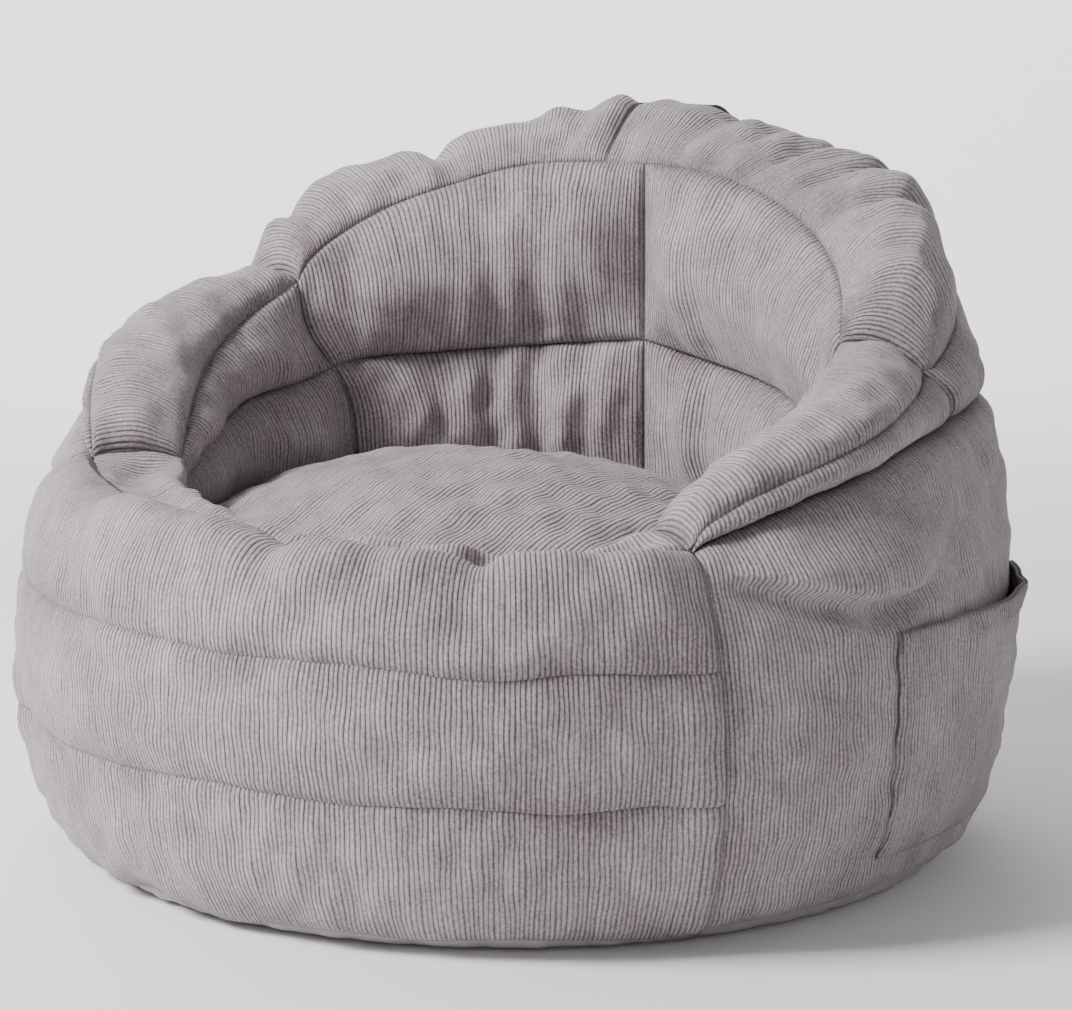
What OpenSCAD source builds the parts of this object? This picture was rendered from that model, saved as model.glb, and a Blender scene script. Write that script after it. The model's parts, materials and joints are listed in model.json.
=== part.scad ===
// Bean bag lounge chair: a round filled body, a front of three stacked quilted channels, and a
// horseshoe of soft arms that rises into a padded back. It faces -Y, with +X on its own left-hand
// side as seen from the front, and stands on the XY plane with its middle over the origin.
// Angles round the body are measured from straight ahead (0) through the sides (90) to the back (180).

/* [Body] */
// Diameter of the round body at its fullest
body_d = 780; // [640:10:960]
// Diameter of the flat base, at the bottom hem
base_d = 704; // [560:8:880]
// Height of the bottom hem above the floor
hem_h = 20; // [10:1:40]
// Height of the lower seam across the front
seam_low_h = 116; // [90:2:140]
// Height of the upper seam across the front
seam_high_h = 214; // [180:2:240]
// Height of the rolled front edge
front_h = 294; // [260:2:340]
// Setback of the top front seam from the fullest front
shoulder = 57; // [30:1:80]
// Angle from straight ahead to the front ends of the arms and the side seams
side_seam_angle = 53; // [40:1:65]
// Bulge of each panel between its seams
puff = 9; // [4:1:14]

/* [Seat] */
// Radius of the seat well between the arms
well_r = 240; // [200:5:270]
// Distance of the seat well's centre in front of the body's centre
well_shift = 35; // [10:5:50]
// Height of the seat cushion's edge
seat_edge_h = 250; // [200:5:260]
// Height of the seat cushion's crest
seat_crest_h = 304; // [260:2:320]

/* [Arms and back] */
// Height of the back's crest
back_h = 572; // [500:4:700]
// Height of the seam along the top of the inner back
back_inner_h = 523; // [450:4:630]
// Height of the seam along the top of the outer back
back_outer_h = 512; // [440:4:620]
// Height of the arms' crest where they meet the back
arm_h = 425; // [380:4:480]
// Height of the seam across the inner back
waist_h = 370; // [330:2:400]
// Height of the seam between the body and the outer back
belt_h = 377; // [340:2:400]
// Angle from straight ahead to where the arms meet the back
knot_angle = 104; // [90:1:120]
// Angle from straight ahead to the seam up the middle of the crown, a little off the back's middle
back_seam_angle = 190; // [182:1:198]
// Thickness of the back at its top, from inner seam to outer seam
back_t = 150; // [110:5:180]
// Thickness of the arms at the pinch where they meet the back
knot_t = 84; // [60:2:100]

/* [Cover] */
// Thickness of the padded cover fabric
fabric_t = 4; // [3:0.5:7]
// Clearance between the cover and the filling
fill_gap = 4; // [3:0.5:8]

/* [Side pocket] */
// Angle from straight ahead to the pocket's front edge
pocket_start = 76; // [66:1:84]
// Angle from straight ahead to the pocket's rear edge
pocket_end = 118; // [105:1:135]
// Height of the pocket's bottom seam
pocket_low_h = 47; // [35:1:80]
// Height of the pocket's mouth
pocket_high_h = 220; // [160:2:250]
// Thickness of the pocket fabric
pocket_t = 2.5; // [2:0.5:4]
// How far the middle of the pocket's mouth stands open
pocket_gape = 16; // [9:1:20]
// Depth of the folded hem along the pocket's mouth
pocket_hem_h = 16; // [10:1:25]

/* [Carry handle] */
// Length of the handle between its sewn ends
handle_l = 130; // [100:5:150]
// Width of the handle's webbing
handle_w = 26; // [20:1:32]
// Thickness of the handle's webbing
handle_t = 3; // [2:0.5:4]
// Rise of the handle's middle above its sewn ends
handle_rise = 46; // [36:1:50]
// Lean of the handle behind upright
handle_lean = 20; // [10:1:40]
// Diameter of the sewn roll that each end of the handle turns on
handle_roll_d = 9; // [7:0.5:11]
// Length of each sewn roll
handle_roll_l = 16; // [10:1:20]
// Clearance between the handle and what it turns on or beside
handle_gap = 0.5; // [0.3:0.1:1]

/* [Filling zip] */
// Half of the angle that the zip covers, either side of the back
zip_half_angle = 38; // [20:1:50]
// Width of the zip's tape
zip_tape_w = 22; // [16:1:30]
// Thickness of the zip's tape
zip_tape_t = 1.5; // [1:0.1:2]
// Width of the closed zip coil
zip_coil_w = 6; // [4:0.5:8]
// Thickness of the zip coil
zip_coil_t = 2; // [1.5:0.1:3]
// Length of the zip slider
slider_l = 14; // [10:1:20]
// Width of the zip slider
slider_w = 11; // [9:0.5:14]
// Clearance round the coil inside the slider
slider_gap = 0.4; // [0.3:0.1:0.8]

/* [Care label] */
// Width of the blank care label
label_w = 30; // [20:1:50]
// Length of the blank care label
label_l = 32; // [20:1:36]

/* [Hidden] */

// Colours of the finished pieces
cord_light = "#A79FA2";
cord_dark = "#8E8689";
lining = "#B9B1B4";
filling = "#E9E6DF";
webbing = "#2B2A2C";

body_r = body_d / 2;
base_r = base_d / 2;
front_seam_r = body_r - puff;
front_edge_r = body_r - shoulder;
base_rim = 14;
knot_inner_h = arm_h - 12;
knot_outer_h = arm_h - 29;
knot_belt_h = belt_h - 15;
arm_front_lift = 8;
belt_inset = 13;
arm_belt_r = front_edge_r + 12;
spine_drop = 40;
waist_share = 0.62;
turn = 360;
eps = 0.01;

function mix(p, q, t) = p + (q - p) * t;
function clamp01(t) = min(1, max(0, t));
function spread(from, to, n) = [for (i = [0:n]) mix(from, to, i / n)];
function polar(angle, p) = [p[0] * sin(angle), -p[0] * cos(angle), p[1]];

// The left side repeats the right side's functions
function fold(angle) = angle > 180 ? turn - angle : angle;
function on_arm(angle) = fold(angle) < knot_angle;
function arm_share(angle) = clamp01((fold(angle) - side_seam_angle) / (knot_angle - side_seam_angle));
function back_share(angle) = clamp01((fold(angle) - knot_angle) / (180 - knot_angle));
function back_rise(angle, power) = pow(sin(90 * back_share(angle)), power);

// Distance from the body's middle to the wall of the seat well
function well_edge(angle) =
    let (c = well_shift * cos(angle)) c + sqrt(well_r * well_r - well_shift * well_shift + c * c);

// Heights and radii of the seams that run round the arms and the back
function inner_seam_h(angle) = on_arm(angle)
    ? mix(front_h, knot_inner_h, pow(arm_share(angle), 0.9))
    : mix(knot_inner_h, back_inner_h, back_rise(angle, 0.55));
function outer_seam_h(angle) = on_arm(angle)
    ? mix(front_h, knot_outer_h, pow(arm_share(angle), 0.5))
    : mix(knot_outer_h, back_outer_h, back_rise(angle, 1));
function crest_h(angle) = on_arm(angle)
    ? mix(front_h + arm_front_lift, arm_h, pow(arm_share(angle), 0.5))
    : mix(arm_h, back_h, back_rise(angle, 0.6));
function outer_seam_r(angle) = on_arm(angle)
    ? mix(front_edge_r, well_edge(knot_angle) + knot_t, arm_share(angle))
        + puff * 2 * sin(180 * arm_share(angle))
    : mix(well_edge(knot_angle) + knot_t, well_edge(180) + back_t, back_rise(angle, 0.5));
function waist_at(angle) = on_arm(angle)
    ? mix(seat_edge_h, inner_seam_h(angle), waist_share)
    : mix(mix(seat_edge_h, knot_inner_h, waist_share), waist_h, back_share(angle));
function belt_at(angle) = on_arm(angle)
    ? mix(front_h, knot_belt_h, pow(arm_share(angle), 0.65))
    : mix(knot_belt_h, belt_h, back_share(angle));
function belt_r(angle) = on_arm(angle)
    ? mix(front_edge_r, arm_belt_r, arm_share(angle))
    : mix(arm_belt_r, body_r - belt_inset, back_rise(angle, 0.5));

// Radius of the body below its belt seam, at a share of the way down to the hem
function belly_r(angle, down) = mix(belt_r(angle), base_r, down)
    + (body_r - mix(belt_r(angle), base_r, 0.4)) * sqrt(max(0, sin(180 * down)));
function down_to(angle, h) = clamp01((belt_at(angle) - h) / (belt_at(angle) - hem_h));
function body_r_at(angle, h) = belly_r(angle, down_to(angle, h));

// The wall's outline at one angle, from the seat up the inside, over the top and down to the hem
SEAT = 0;
WAIST = 2;
INNER = 4;
OUTER = 8;
BELT = 10;
HEM = 17;
function cap_point(angle, t) =
    let (ri = well_edge(angle), ro = outer_seam_r(angle))
    let (hi = inner_seam_h(angle), ho = outer_seam_h(angle))
    [mix(ri, ro, t), mix(hi, ho, t) + (crest_h(angle) - (hi + ho) / 2) * pow(sin(180 * t), 0.7)];
function outline(angle) =
    let (r = well_edge(angle), w = waist_at(angle), hi = inner_seam_h(angle))
    let (e = [outer_seam_r(angle), outer_seam_h(angle)], f = [belt_r(angle), belt_at(angle)])
    concat(
        [[r, seat_edge_h], [r - puff, (seat_edge_h + w) / 2], [r, w], [r - puff, (w + hi) / 2], [r, hi]],
        [for (t = [0.15, 0.5, 0.85]) cap_point(angle, t)],
        [e, (e + f) / 2 + [puff, 0] * clamp01(norm(e - f) / puff / 3), f],
        [for (down = [0.08, 0.2, 0.4, 0.6, 0.8, 0.93, 1])
            [belly_r(angle, down), mix(f[1], hem_h, down)]]
    );

// A point of the outline moved by a depth into the wall
function spine(angle, p) =
    [(well_edge(angle) + belt_r(angle)) / 2,
     min(p[1], min(inner_seam_h(angle), outer_seam_h(angle)) - spine_drop)];
function inset(angle, p, depth) = let (d = spine(angle, p) - p) p + d * depth / norm(d);

// Angles at which the wall is cut into rings, shared by all its panels
STATIONS = concat(
    spread(side_seam_angle, knot_angle, 8),
    [for (a = spread(knot_angle, 180, 11)) if (a > knot_angle) a],
    [back_seam_angle],
    [for (a = spread(back_seam_angle, turn - knot_angle, 10)) if (a > back_seam_angle) a],
    [for (a = spread(turn - knot_angle, turn - side_seam_angle, 8)) if (a > turn - knot_angle) a]
);
function span(from, to) = [for (a = STATIONS) if (a > from - eps && a < to + eps) a];

// Closed solid through a list of rings that all have the same number of points. flip turns the
// diagonals of its sides, so that a filling's facets run like the inner facets of the panels round it.
module sweep(rings, flip = false) {
    n = len(rings[0]);
    last = len(rings) - 1;
    sides = [for (s = [0:last - 1], k = [0:n - 1])
        let (a = s * n + k, b = s * n + (k + 1) % n)
        each ((k < n - 1) != flip ? [[a, b, b + n], [a, b + n, a + n]] : [[a, b, a + n], [b, b + n, a + n]])];
    polyhedron(
        points = [for (ring = rings) each ring],
        faces = concat(sides, [[for (k = [n - 1:-1:0]) k]], [[for (k = [0:n - 1]) last * n + k]]),
        convexity = 6
    );
}

// Points of the outline, given as radius and height, placed at their angle
function placed(angle, points) = [for (p = points) polar(angle, p)];

// One cover panel: the stretch of the outline between two seams, swept between two angles
module panel(first, end, from, to) {
    sweep([for (a = span(from, to))
        let (line = outline(a))
        placed(a, concat(
            [for (i = [first:end]) line[i]],
            [for (i = [end:-1:first]) inset(a, line[i], fabric_t)]
        ))]);
}

// The filling behind the panels, down to the level of the seat's edge
module wall_filling(from, to) {
    depth = fabric_t + fill_gap * 1.5;
    sweep([for (a = span(from, to))
        let (line = outline(a), low_r = body_r_at(a, seat_edge_h) - depth)
        placed(a, concat(
            [[line[SEAT][0] + depth, seat_edge_h]],
            [for (i = [SEAT + 1:BELT]) inset(a, line[i], depth)],
            [[low_r, seat_edge_h]]
        ))], flip = true);
}

// A ring section turned about the body's axis between two angles
module turned(from, to) {
    rotate([0, 0, from - 90]) rotate_extrude(angle = to - from, $fn = 180) children();
}

// Points on a bulge between two seams, standing proud of the straight line by up to rise
function bulge(p, q, rise, n) =
    let (along = (q - p) / norm(q - p), out = [along[1], -along[0]])
    [for (t = spread(0, 1, n)) mix(p, q, t) + out * rise * 4 * t * (1 - t)];

// Seams of the front, from the hem up: each is a radius and a height
front_seams = [[base_r, hem_h], [front_seam_r, seam_low_h], [front_seam_r, seam_high_h],
    [front_edge_r, front_h]];
channel_rise = [puff * 1.6, puff, puff * 2.2];
channel_steps = 8;

module front_channel(i) {
    low = front_seams[i];
    high = front_seams[i + 1];
    turned(-side_seam_angle, side_seam_angle) polygon(concat(
        bulge(low, high, channel_rise[i], channel_steps),
        [high - [fabric_t, 0], low - [fabric_t, 0]]
    ));
}

module seat_well(r, low, high) {
    translate([0, -well_shift, low]) cylinder(r = r, h = high - low, $fn = 180);
}

module base_panel() color(lining) rotate_extrude($fn = 180) polygon([
    [0, 0], [base_r - base_rim, 0], [base_r, hem_h], [base_r - fabric_t, hem_h],
    [base_r - base_rim - fabric_t / 2, fabric_t], [0, fabric_t]
]);

module front_channel_lower() color(cord_light) front_channel(0);
module front_channel_middle() color(cord_light) front_channel(1);
module front_channel_upper() color(cord_light) front_channel(2);

module front_border() color(cord_dark) difference() {
    turned(-side_seam_angle, side_seam_angle)
        translate([well_r / 2, front_h - fabric_t]) square([front_edge_r - fabric_t - well_r / 2, fabric_t]);
    seat_well(well_r, front_h - fabric_t - 1, front_h + 1);
}

// Outline of the seat's dome, shrunk inwards by a depth
dome_power = 2.6;
dome_steps = 12;
seat_clear = 3;
function dome(depth) =
    let (r = well_r - seat_clear - depth, crest = seat_crest_h - depth)
    [for (t = spread(1, 0, dome_steps)) [r * t, mix(seat_edge_h, crest, 1 - pow(t, dome_power))]];

module seat_panel() color(cord_light) translate([0, -well_shift, 0]) rotate_extrude($fn = 180)
    difference() {
        polygon(concat([[0, seat_edge_h]], dome(0)));
        polygon(concat([[0, seat_edge_h - 1], [well_r - seat_clear - fabric_t, seat_edge_h - 1]],
            dome(fabric_t)));
    }

// Radius of a round filling at a height, inside the front and the side panels alike
function front_r(h) = lookup(h, [for (seam = front_seams) [seam[1], seam[0]]]);
function filling_r(h) =
    min(front_r(h), body_r_at(side_seam_angle, h), body_r_at(180, h)) - fabric_t - fill_gap;

module seat_filling() color(filling) {
    depth = fabric_t + fill_gap;
    rotate_extrude($fn = 180) polygon(concat(
        [[0, fabric_t], [base_r - base_rim - depth, fabric_t]],
        [for (h = [hem_h, seam_low_h, seam_high_h, seat_edge_h]) [filling_r(h), h]],
        [[0, seat_edge_h]]
    ));
    translate([0, -well_shift, 0]) rotate_extrude($fn = 180)
        polygon(concat([[0, seat_edge_h]], dome(depth)));
}

module front_filling() color(filling) {
    depth = fabric_t + fill_gap;
    top = front_h - depth;
    slack = 0.5;
    difference() {
        turned(-side_seam_angle + slack, side_seam_angle - slack) polygon([
            [well_r / 2, seat_edge_h], [well_r / 2, top], [filling_r(top), top],
            [filling_r(seat_edge_h), seat_edge_h]
        ]);
        seat_well(well_r + fill_gap, seat_edge_h - 1, front_h);
    }
}

left_knot = turn - knot_angle;
left_seam = turn - side_seam_angle;
module arm_filling_right() color(filling) wall_filling(side_seam_angle, knot_angle);
module arm_filling_left() color(filling) wall_filling(left_knot, left_seam);
module back_filling() color(filling) wall_filling(knot_angle, left_knot);

module side_panel_right() color(cord_dark) panel(BELT, HEM, side_seam_angle, 180);
module side_panel_left() color(cord_dark) panel(BELT, HEM, 180, left_seam);
module arm_strip_right() color(cord_light) panel(INNER, OUTER, side_seam_angle, knot_angle);
module arm_strip_left() color(cord_light) panel(INNER, OUTER, left_knot, left_seam);
module arm_boxing_right() color(cord_dark) panel(OUTER, BELT, side_seam_angle, knot_angle);
module arm_boxing_left() color(cord_dark) panel(OUTER, BELT, left_knot, left_seam);
module crown_right() color(cord_light) panel(INNER, OUTER, knot_angle, back_seam_angle);
module crown_left() color(cord_light) panel(INNER, OUTER, back_seam_angle, left_knot);
module outer_back_right() color(cord_dark) panel(OUTER, BELT, knot_angle, back_seam_angle);
module outer_back_left() color(cord_dark) panel(OUTER, BELT, back_seam_angle, left_knot);
module inner_arm_upper_right() color(cord_dark) panel(WAIST, INNER, side_seam_angle, knot_angle);
module inner_arm_upper_left() color(cord_dark) panel(WAIST, INNER, left_knot, left_seam);
module inner_arm_lower_right() color(cord_light) panel(SEAT, WAIST, side_seam_angle, knot_angle);
module inner_arm_lower_left() color(cord_light) panel(SEAT, WAIST, left_knot, left_seam);
module inner_back_upper_right() color(cord_dark) panel(WAIST, INNER, knot_angle, 180);
module inner_back_upper_left() color(cord_dark) panel(WAIST, INNER, 180, left_knot);
module inner_back_lower_right() color(cord_light) panel(SEAT, WAIST, knot_angle, 180);
module inner_back_lower_left() color(cord_light) panel(SEAT, WAIST, 180, left_knot);

// Radius of the pocket's inner face: it lies on the body at its sewn edges and stands open above
pocket_clear = 1;
hem_clear = 0.2;
pocket_rings = 10;
pocket_levels = 5;
function pocket_r(angle, h) =
    let (across = (angle - pocket_start) / (pocket_end - pocket_start))
    let (up = (h - pocket_low_h) / (pocket_high_h - pocket_low_h))
    body_r_at(angle, h) + pocket_clear + pocket_gape * sin(180 * across) * pow(clamp01(up), 1.4);
pocket_heights = concat(spread(pocket_low_h, pocket_high_h - pocket_hem_h, pocket_levels), [pocket_high_h]);

// A layer of the pocket, between two depths outside its inner face
module pocket_layer(heights, near, far) {
    sweep([for (a = spread(pocket_start, pocket_end, pocket_rings))
        placed(a, concat(
            [for (i = [len(heights) - 1:-1:0]) [pocket_r(a, heights[i]) + far, heights[i]]],
            [for (h = heights) [pocket_r(a, h) + near, h]]
        ))]);
}
module side_pocket() color(cord_light) pocket_layer(pocket_heights, 0, pocket_t);
module pocket_hem() color(cord_dark)
    pocket_layer([pocket_high_h - pocket_hem_h, pocket_high_h], pocket_t + hem_clear, pocket_t * 1.6);

// The handle is a webbing arch behind the crown. Its gathered ends turn on the straight line
// between two sewn rolls, which stand just outside the seam between crown and outer back.
handle_bend_r = 20;
handle_neck_h = 12;
handle_half = handle_l / 2;
handle_out = handle_roll_d / 2 + handle_gap + 1;
handle_end_r = outer_seam_r(back_seam_angle) + handle_out;
handle_y = sqrt(handle_end_r * handle_end_r - handle_half * handle_half);
handle_h = outer_seam_h(back_seam_angle) + handle_out * 0.6;
module handle_frame() {
    rotate([0, 0, back_seam_angle - 180]) translate([0, handle_y, handle_h]) children();
}
module handle_arch(depth) {
    bend = handle_bend_r - depth;
    hull() {
        for (side = [-1, 1]) translate([side * (handle_half - handle_bend_r), handle_rise - handle_bend_r])
            circle(bend, $fn = 48);
        translate([depth - handle_half, 0]) square([handle_l - 2 * depth, 1]);
    }
}
module handle_strap(width) {
    rotate([90, 0, 0]) translate([0, 0, -width / 2]) linear_extrude(width) difference() {
        handle_arch(0);
        handle_arch(handle_t);
        translate([handle_t - handle_half, -1]) square([handle_l - 2 * handle_t, 3]);
    }
}
module handle_roll(x) {
    translate([x, 0, 0]) rotate([0, 90, 0])
        cylinder(d = handle_roll_d, h = handle_roll_l, center = true, $fn = 48);
}
module carry_handle() color(webbing) handle_frame() rotate([-handle_lean, 0, 0]) {
    handle_strap(handle_roll_d);
    intersection() {
        handle_strap(handle_w);
        translate([-handle_l, -handle_w, handle_neck_h]) cube([handle_l * 2, handle_w * 2, handle_rise]);
    }
    for (side = [-1, 1]) handle_roll(side * handle_half);
}
module handle_anchors() color(webbing) handle_frame()
    for (side = [-1, 1]) handle_roll(side * (handle_half + handle_roll_l + handle_gap));

// The zip curves round the lower back, a little above the hem
zip_h = 92;
zip_clear = 2;
zip_start = 180 - zip_half_angle;
zip_end = 180 + zip_half_angle;
slider_t = zip_coil_t + 2.6;
function zip_r_at(h) = max(body_r_at(180, h), body_r_at(zip_start, h)) + zip_clear;
zip_lean = atan2(zip_r_at(zip_h + zip_tape_w / 2) - zip_r_at(zip_h - zip_tape_w / 2), zip_tape_w);
module zip_section() {
    translate([zip_r_at(zip_h), zip_h]) rotate(-zip_lean) children();
}
module zip_tape() color(cord_dark) turned(zip_start, zip_end) zip_section()
    translate([0, -zip_tape_w / 2]) square([zip_tape_t, zip_tape_w]);
module zip_coil() color(webbing) turned(zip_start + 1, zip_end - 1) zip_section()
    translate([zip_tape_t, -zip_coil_w / 2]) square([zip_coil_t, zip_coil_w]);
module zip_slider() color(webbing) {
    reach = slider_l / body_r * 180 / PI;
    turned(zip_end - 2 - reach, zip_end - 2) zip_section() difference() {
        translate([zip_tape_t + slider_gap, -slider_w / 2]) square([slider_t, slider_w]);
        translate([0, -zip_coil_w / 2 - slider_gap])
            square([zip_tape_t + zip_coil_t + slider_gap, zip_coil_w + 2 * slider_gap]);
    }
}

// The blank label hangs out of the hem at the rear left
label_angle = 236;
label_t = 1;
label_droop = 20;
module care_label() color("white") rotate([0, 0, label_angle])
    translate([0, -base_r - 0.3, hem_h - label_t - 0.2]) rotate([label_droop, 0, 0])
        translate([-label_w / 2, -label_l, 0]) cube([label_w, label_l, label_t]);

base_panel();
seat_filling();
front_filling();
arm_filling_right();
arm_filling_left();
back_filling();
front_channel_lower();
front_channel_middle();
front_channel_upper();
front_border();
seat_panel();
side_panel_right();
side_panel_left();
arm_strip_right();
arm_strip_left();
arm_boxing_right();
arm_boxing_left();
crown_right();
crown_left();
outer_back_right();
outer_back_left();
inner_arm_upper_right();
inner_arm_upper_left();
inner_arm_lower_right();
inner_arm_lower_left();
inner_back_upper_right();
inner_back_upper_left();
inner_back_lower_right();
inner_back_lower_left();
side_pocket();
pocket_hem();
carry_handle();
handle_anchors();
zip_tape();
zip_coil();
zip_slider();
care_label();
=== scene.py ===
import json
import math

import bmesh
import bpy
import numpy as np
from mathutils import Matrix, Vector
from mathutils.bvhtree import BVHTree


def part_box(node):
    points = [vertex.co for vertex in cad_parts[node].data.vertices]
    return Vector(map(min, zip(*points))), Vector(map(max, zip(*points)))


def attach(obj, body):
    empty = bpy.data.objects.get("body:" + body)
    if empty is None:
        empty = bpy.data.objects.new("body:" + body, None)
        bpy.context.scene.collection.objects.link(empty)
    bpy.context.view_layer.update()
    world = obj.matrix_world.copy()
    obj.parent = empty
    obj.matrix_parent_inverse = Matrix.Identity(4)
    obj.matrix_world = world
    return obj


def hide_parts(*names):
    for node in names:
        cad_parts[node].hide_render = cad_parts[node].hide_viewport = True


# A round bean bag chair in corduroy: quilted front channels, horseshoe arms that rise into a padded
# back, a patch pocket on one side, a webbing handle and a filling zip behind. Metres, +Z up, the
# chair faces -Y. Angles round the body run from straight ahead (0) through the sides to the back (180).

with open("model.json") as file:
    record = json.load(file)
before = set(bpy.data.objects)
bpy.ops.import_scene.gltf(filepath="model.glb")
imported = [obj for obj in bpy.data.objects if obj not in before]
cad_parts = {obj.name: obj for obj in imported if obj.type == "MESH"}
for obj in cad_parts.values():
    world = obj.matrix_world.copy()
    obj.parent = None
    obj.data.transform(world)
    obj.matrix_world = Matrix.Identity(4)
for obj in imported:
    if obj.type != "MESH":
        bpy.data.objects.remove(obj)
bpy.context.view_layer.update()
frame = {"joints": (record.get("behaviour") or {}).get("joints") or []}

# ---- sizes taken from the frame


def top_of(node):
    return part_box(node)[1][2]


hem_h = top_of("base_panel")
base_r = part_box("base_panel")[1][0]
seam_low_h = top_of("front_channel_lower")
seam_high_h = top_of("front_channel_middle")
front_h = top_of("front_border")
body_r = -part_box("side_panel_left")[0][0]
seat_low, seat_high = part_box("seat_panel")
seat_gap = 0.003
well_r = (seat_high[0] - seat_low[0]) / 2 + seat_gap
well_shift = -(seat_high[1] + seat_low[1]) / 2
seat_edge_h = seat_low[2]
seat_rim_h = seat_edge_h - 0.010
seat_crest_h = seat_high[2]
back_h = top_of("crown_right")
back_inner_h = top_of("inner_back_upper_right")
back_outer_h = top_of("outer_back_right")
arm_h = top_of("arm_strip_right")
waist_h = top_of("inner_back_lower_right")
belt_h = top_of("side_panel_right")
pocket_low_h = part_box("side_pocket")[0][2]
pocket_high_h = top_of("side_pocket")

# Seams, in degrees round the body: the front corners, where arm meets back, and the middle of the head roll
side_seam = 53
knot = 104
crown_seam = 190

puff = 0.009
shoulder = 0.057
front_seam_r = body_r - puff
front_edge_r = body_r - shoulder
back_t = 0.150
knot_t = 0.084
arm_lift = 0.008
waist_share = 0.53
belt_in = 0.013
arm_belt_r = front_edge_r + 0.012
knot_inner_h = arm_h - 0.012
knot_outer_h = arm_h - 0.029
knot_belt_h = belt_h - 0.015

hem_drop = 0.0055
fabric = 0.004
grid_step = 0.009
wale = 0.0037
seam_depth = 0.0034
stitch_depth = 0.0004
stitch_length = 0.009
edge_fold_depth = 0.016

# ---- seam lines round the body


def mix(p, q, t):
    return p + (q - p) * t


def ease(t):
    t = np.clip(t, 0, 1)
    return t * t * (3 - 2 * t)


def hump(x, middle, width):
    return np.exp(-(((x - middle) / width) ** 2))


def fold(a):
    return np.where(a > 180, 360 - a, a)


def arm_share(a):
    return np.clip((fold(a) - side_seam) / (knot - side_seam), 0, 1)


def back_share(a):
    return np.clip((fold(a) - knot) / (180 - knot), 0, 1)


def back_rise(a, power):
    return np.sin(np.radians(90 * back_share(a))) ** power


def on_arm(a, arm, back):
    return np.where(fold(a) < knot, arm, back)


def well_edge(a):
    c = well_shift * np.cos(np.radians(a))
    return c + np.sqrt(well_r ** 2 - well_shift ** 2 + c * c)


def flare(a):
    """How far the top of the seat well leans out beside the back."""
    return 0.028 * hump(fold(a), knot, 34)


def inner_seam_h(a):
    return on_arm(a, mix(front_h, knot_inner_h, arm_share(a) ** 0.9),
                  mix(knot_inner_h, back_inner_h, back_rise(a, 0.66)))


def outer_seam_h(a):
    return on_arm(a, mix(front_h, knot_outer_h, arm_share(a) ** 0.5),
                  mix(knot_outer_h, back_outer_h, back_rise(a, 1)))


def crest_h(a):
    return on_arm(a, mix(front_h + arm_lift, arm_h, arm_share(a) ** 0.5),
                  mix(arm_h, back_h, back_rise(a, 0.6)))


def outer_seam_r(a):
    knot_r = well_edge(knot) + knot_t
    back_r = well_edge(180) + back_t
    return 0.5 * flare(a) * ease(arm_share(a) * 3) + on_arm(
        a, mix(front_edge_r, knot_r, arm_share(a)) + 2 * puff * np.sin(np.pi * arm_share(a)),
        mix(knot_r, back_r, back_rise(a, 0.5)))


def waist_line_h(a):
    knot_waist = mix(seat_edge_h, knot_inner_h, waist_share)
    return on_arm(a, mix(seat_edge_h, inner_seam_h(a), waist_share),
                  mix(knot_waist, waist_h, back_share(a)))


def belt_line_h(a):
    return on_arm(a, mix(front_h, knot_belt_h, arm_share(a) ** 0.65),
                  mix(knot_belt_h, belt_h, back_share(a)))


def belt_r(a):
    return on_arm(a, mix(front_edge_r, arm_belt_r, arm_share(a)),
                  mix(arm_belt_r, body_r - belt_in, back_rise(a, 0.5)))


def belly_r(a, down):
    swell = np.sqrt(np.clip(np.sin(np.pi * down), 0, 1))
    return mix(belt_r(a), base_r, down) + (body_r - mix(belt_r(a), base_r, 0.4)) * swell


def body_r_at(a, h):
    belt = belt_line_h(a)
    return belly_r(a, np.clip((belt - h) / (belt - hem_h), 0, 1))


# ---- cover panels as grids of points
# Each panel gives radius and height at an angle a (degrees) and a share t from its first seam to
# its second.


def off_seams(a, lines, reach):
    """0 on the seams that cross a panel at these angles, rising smoothly to 1 past reach degrees."""
    near = np.min([np.abs(fold(a) - line) for line in lines], axis=0)
    return ease(near / reach) ** 0.6


def folds_at(a, folds):
    """Depth share at an angle of soft folds, each given as angle, depth share and half width."""
    return sum(deep * hump(a, at, wide) for at, deep, wide in folds)


# Soft upright folds in the back's lining
BACK_FOLDS = ((158, 0.5, 4), (170, 0.5, 3.5), (194, 0.5, 3.5), (206, 1, 4), (217, 0.8, 3.6),
              (230, 0.5, 4.5))
back_fold_depth = 0.015


def lining(low, high, low_lean, high_lean, arm_puff, back_puff, fold_share):
    def shape(a, t):
        free = off_seams(a, (side_seam, knot, 180), 16)
        swell = mix(arm_puff, back_puff, ease((fold(a) - knot) / 20)) * free
        folded = back_fold_depth * folds_at(a, BACK_FOLDS) * fold_share(t) * free
        lean = mix(low_lean, high_lean, t) * flare(a)
        return well_edge(a) + lean + folded - swell * np.sin(np.pi * t) ** 0.8, mix(low(a), high(a), t)
    return shape


inner_lower = lining(lambda a: seat_rim_h + 0 * a, waist_line_h, 0, 0.45, 0.018, 0.022,
                     lambda t: np.sin(np.pi * np.clip(t * 0.85, 0, 1)) ** 0.8)
inner_upper = lining(waist_line_h, inner_seam_h, 0.45, 1, 0.018, 0.032,
                     lambda t: np.clip(1 - t / 0.6, 0, 1) ** 1.5 * ease(t / 0.1))


# Angle, depth share and half width of each gather along the head roll
HEAD_PLEATS = ((112, 0.6, 2.6), (119, 0.4, 2), (126, 0.9, 2.6), (139, 1.1, 2.4), (145, 0.4, 2),
               (152, 1, 2.8), (162, 0.4, 2.4), (172, 0.5, 2.8), (199, 0.4, 3), (225, 1, 3.2),
               (233, 0.3, 2.4), (249, 0.8, 2.6))
pleat_depth = 0.020


def arch(t, power):
    return np.clip(np.sin(np.pi * np.clip(t, 0, 1)), 0, 1) ** power


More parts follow.
